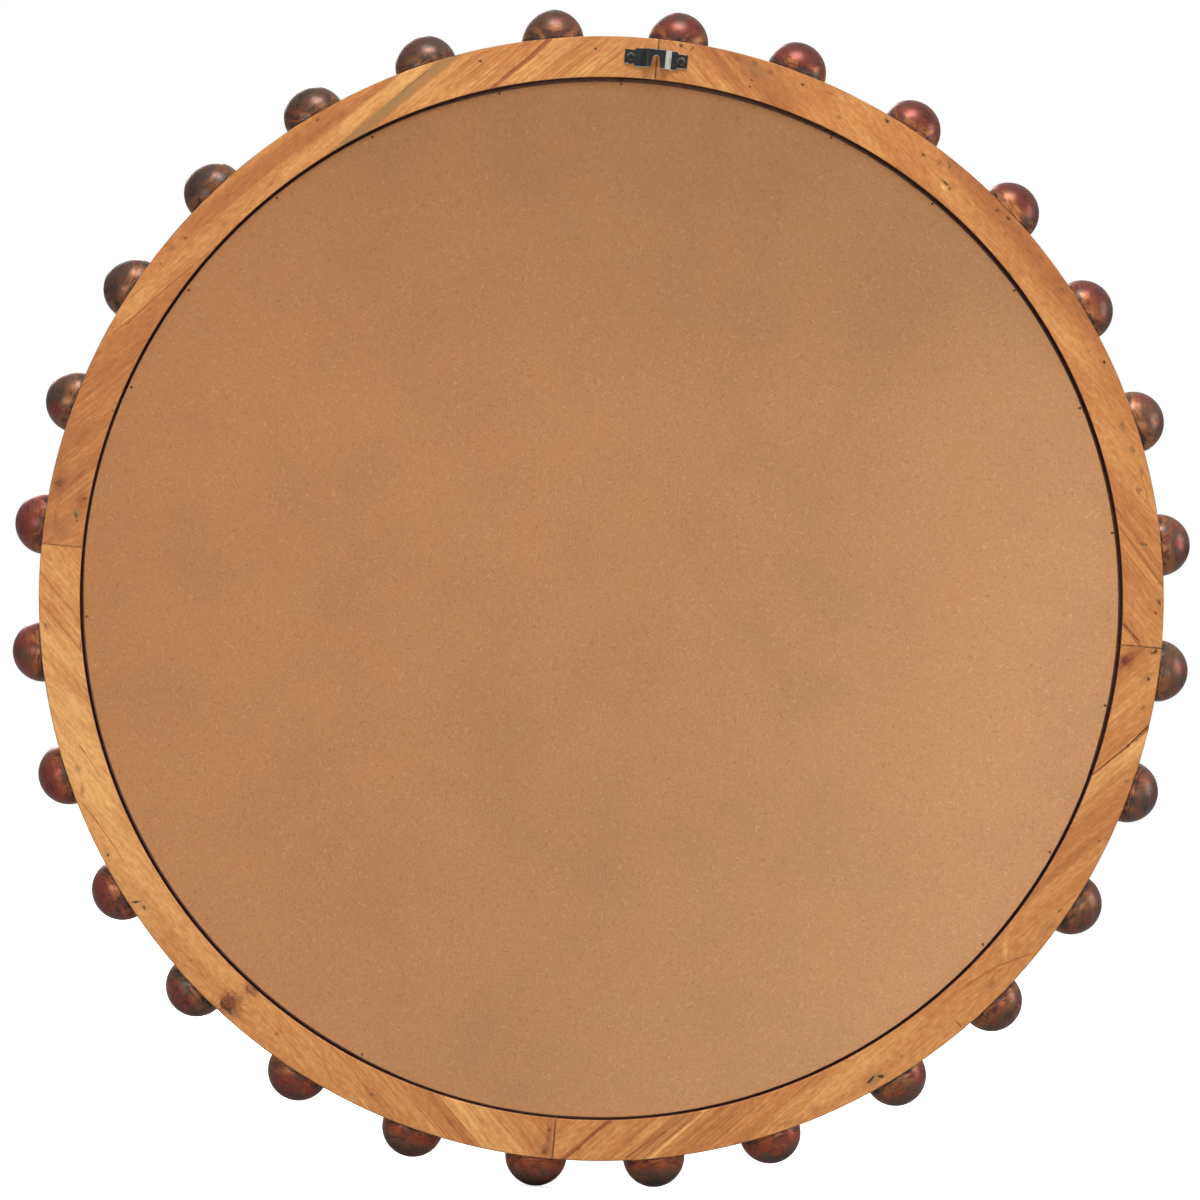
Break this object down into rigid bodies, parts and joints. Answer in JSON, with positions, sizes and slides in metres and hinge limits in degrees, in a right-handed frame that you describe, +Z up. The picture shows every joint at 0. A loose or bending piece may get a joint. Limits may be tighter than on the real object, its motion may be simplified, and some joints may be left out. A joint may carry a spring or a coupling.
{
  "type": "round wall mirror",
  "caption": "Round wall mirror in a flat wooden ring edged with burnished copper balls, backed by a fibreboard disc and hung from a notched steel plate.",
  "frame": {"origin": "the top of the hanger's notch, where the wall hook carries the mirror, in the plane of the ring's back", "axes": "+Z up; +Y backwards to the wall, so the looking side faces -Y; +X to the right as the user sees it"},
  "size_m": [0.9126, 0.0543, 0.9126],
  "materials": {
    "ring_pine": "clear-sealed pine on the back, the front and edges finished as the balls",
    "dowel_beech": "bare",
    "burnished_copper": "turned wood under a mottled burnished copper finish, satin",
    "silvered_glass": "polished, silvered behind",
    "foam_tape": "matt",
    "fibreboard": "bare medium-density fibreboard",
    "bright_steel": "bright drawn wire",
    "black_zinc_steel": "black zinc, glossy, bare at cut edges"
  },
  "bodies": {
    "root": {"ring_upper_left": "ring_pine", "ring_upper_right": "ring_pine", "ring_lower_right": "ring_pine", "ring_lower_left_main": "ring_pine", "ring_lower_left_side_tip": "ring_pine", "ring_lower_left_bottom_tip": "ring_pine", "joint_dowels_top": "dowel_beech", "joint_dowels_left": "dowel_beech", "joint_dowels_bottom": "dowel_beech", "joint_dowels_right": "dowel_beech", "bead_dowels": "dowel_beech", "bead_01": "burnished_copper", "bead_02": "burnished_copper", "bead_03": "burnished_copper", "bead_04": "burnished_copper", "bead_05": "burnished_copper", "bead_06": "burnished_copper", "bead_07": "burnished_copper", "bead_08": "burnished_copper", "bead_09": "burnished_copper", "bead_10": "burnished_copper", "bead_11": "burnished_copper", "bead_12": "burnished_copper", "bead_13": "burnished_copper", "bead_14": "burnished_copper", "bead_15": "burnished_copper", "bead_16": "burnished_copper", "bead_17": "burnished_copper", "bead_18": "burnished_copper", "bead_19": "burnished_copper", "bead_20": "burnished_copper", "bead_21": "burnished_copper", "bead_22": "burnished_copper", "bead_23": "burnished_copper", "bead_24": "burnished_copper", "bead_25": "burnished_copper", "bead_26": "burnished_copper", "bead_27": "burnished_copper", "bead_28": "burnished_copper", "mirror_glass": "silvered_glass", "mirror_tape": "foam_tape", "backing_board": "fibreboard", "backing_brads": "bright_steel", "hanger_plate": "black_zinc_steel", "hanger_screw_left": "black_zinc_steel", "hanger_screw_right": "black_zinc_steel"}
  },
  "joints": []
}
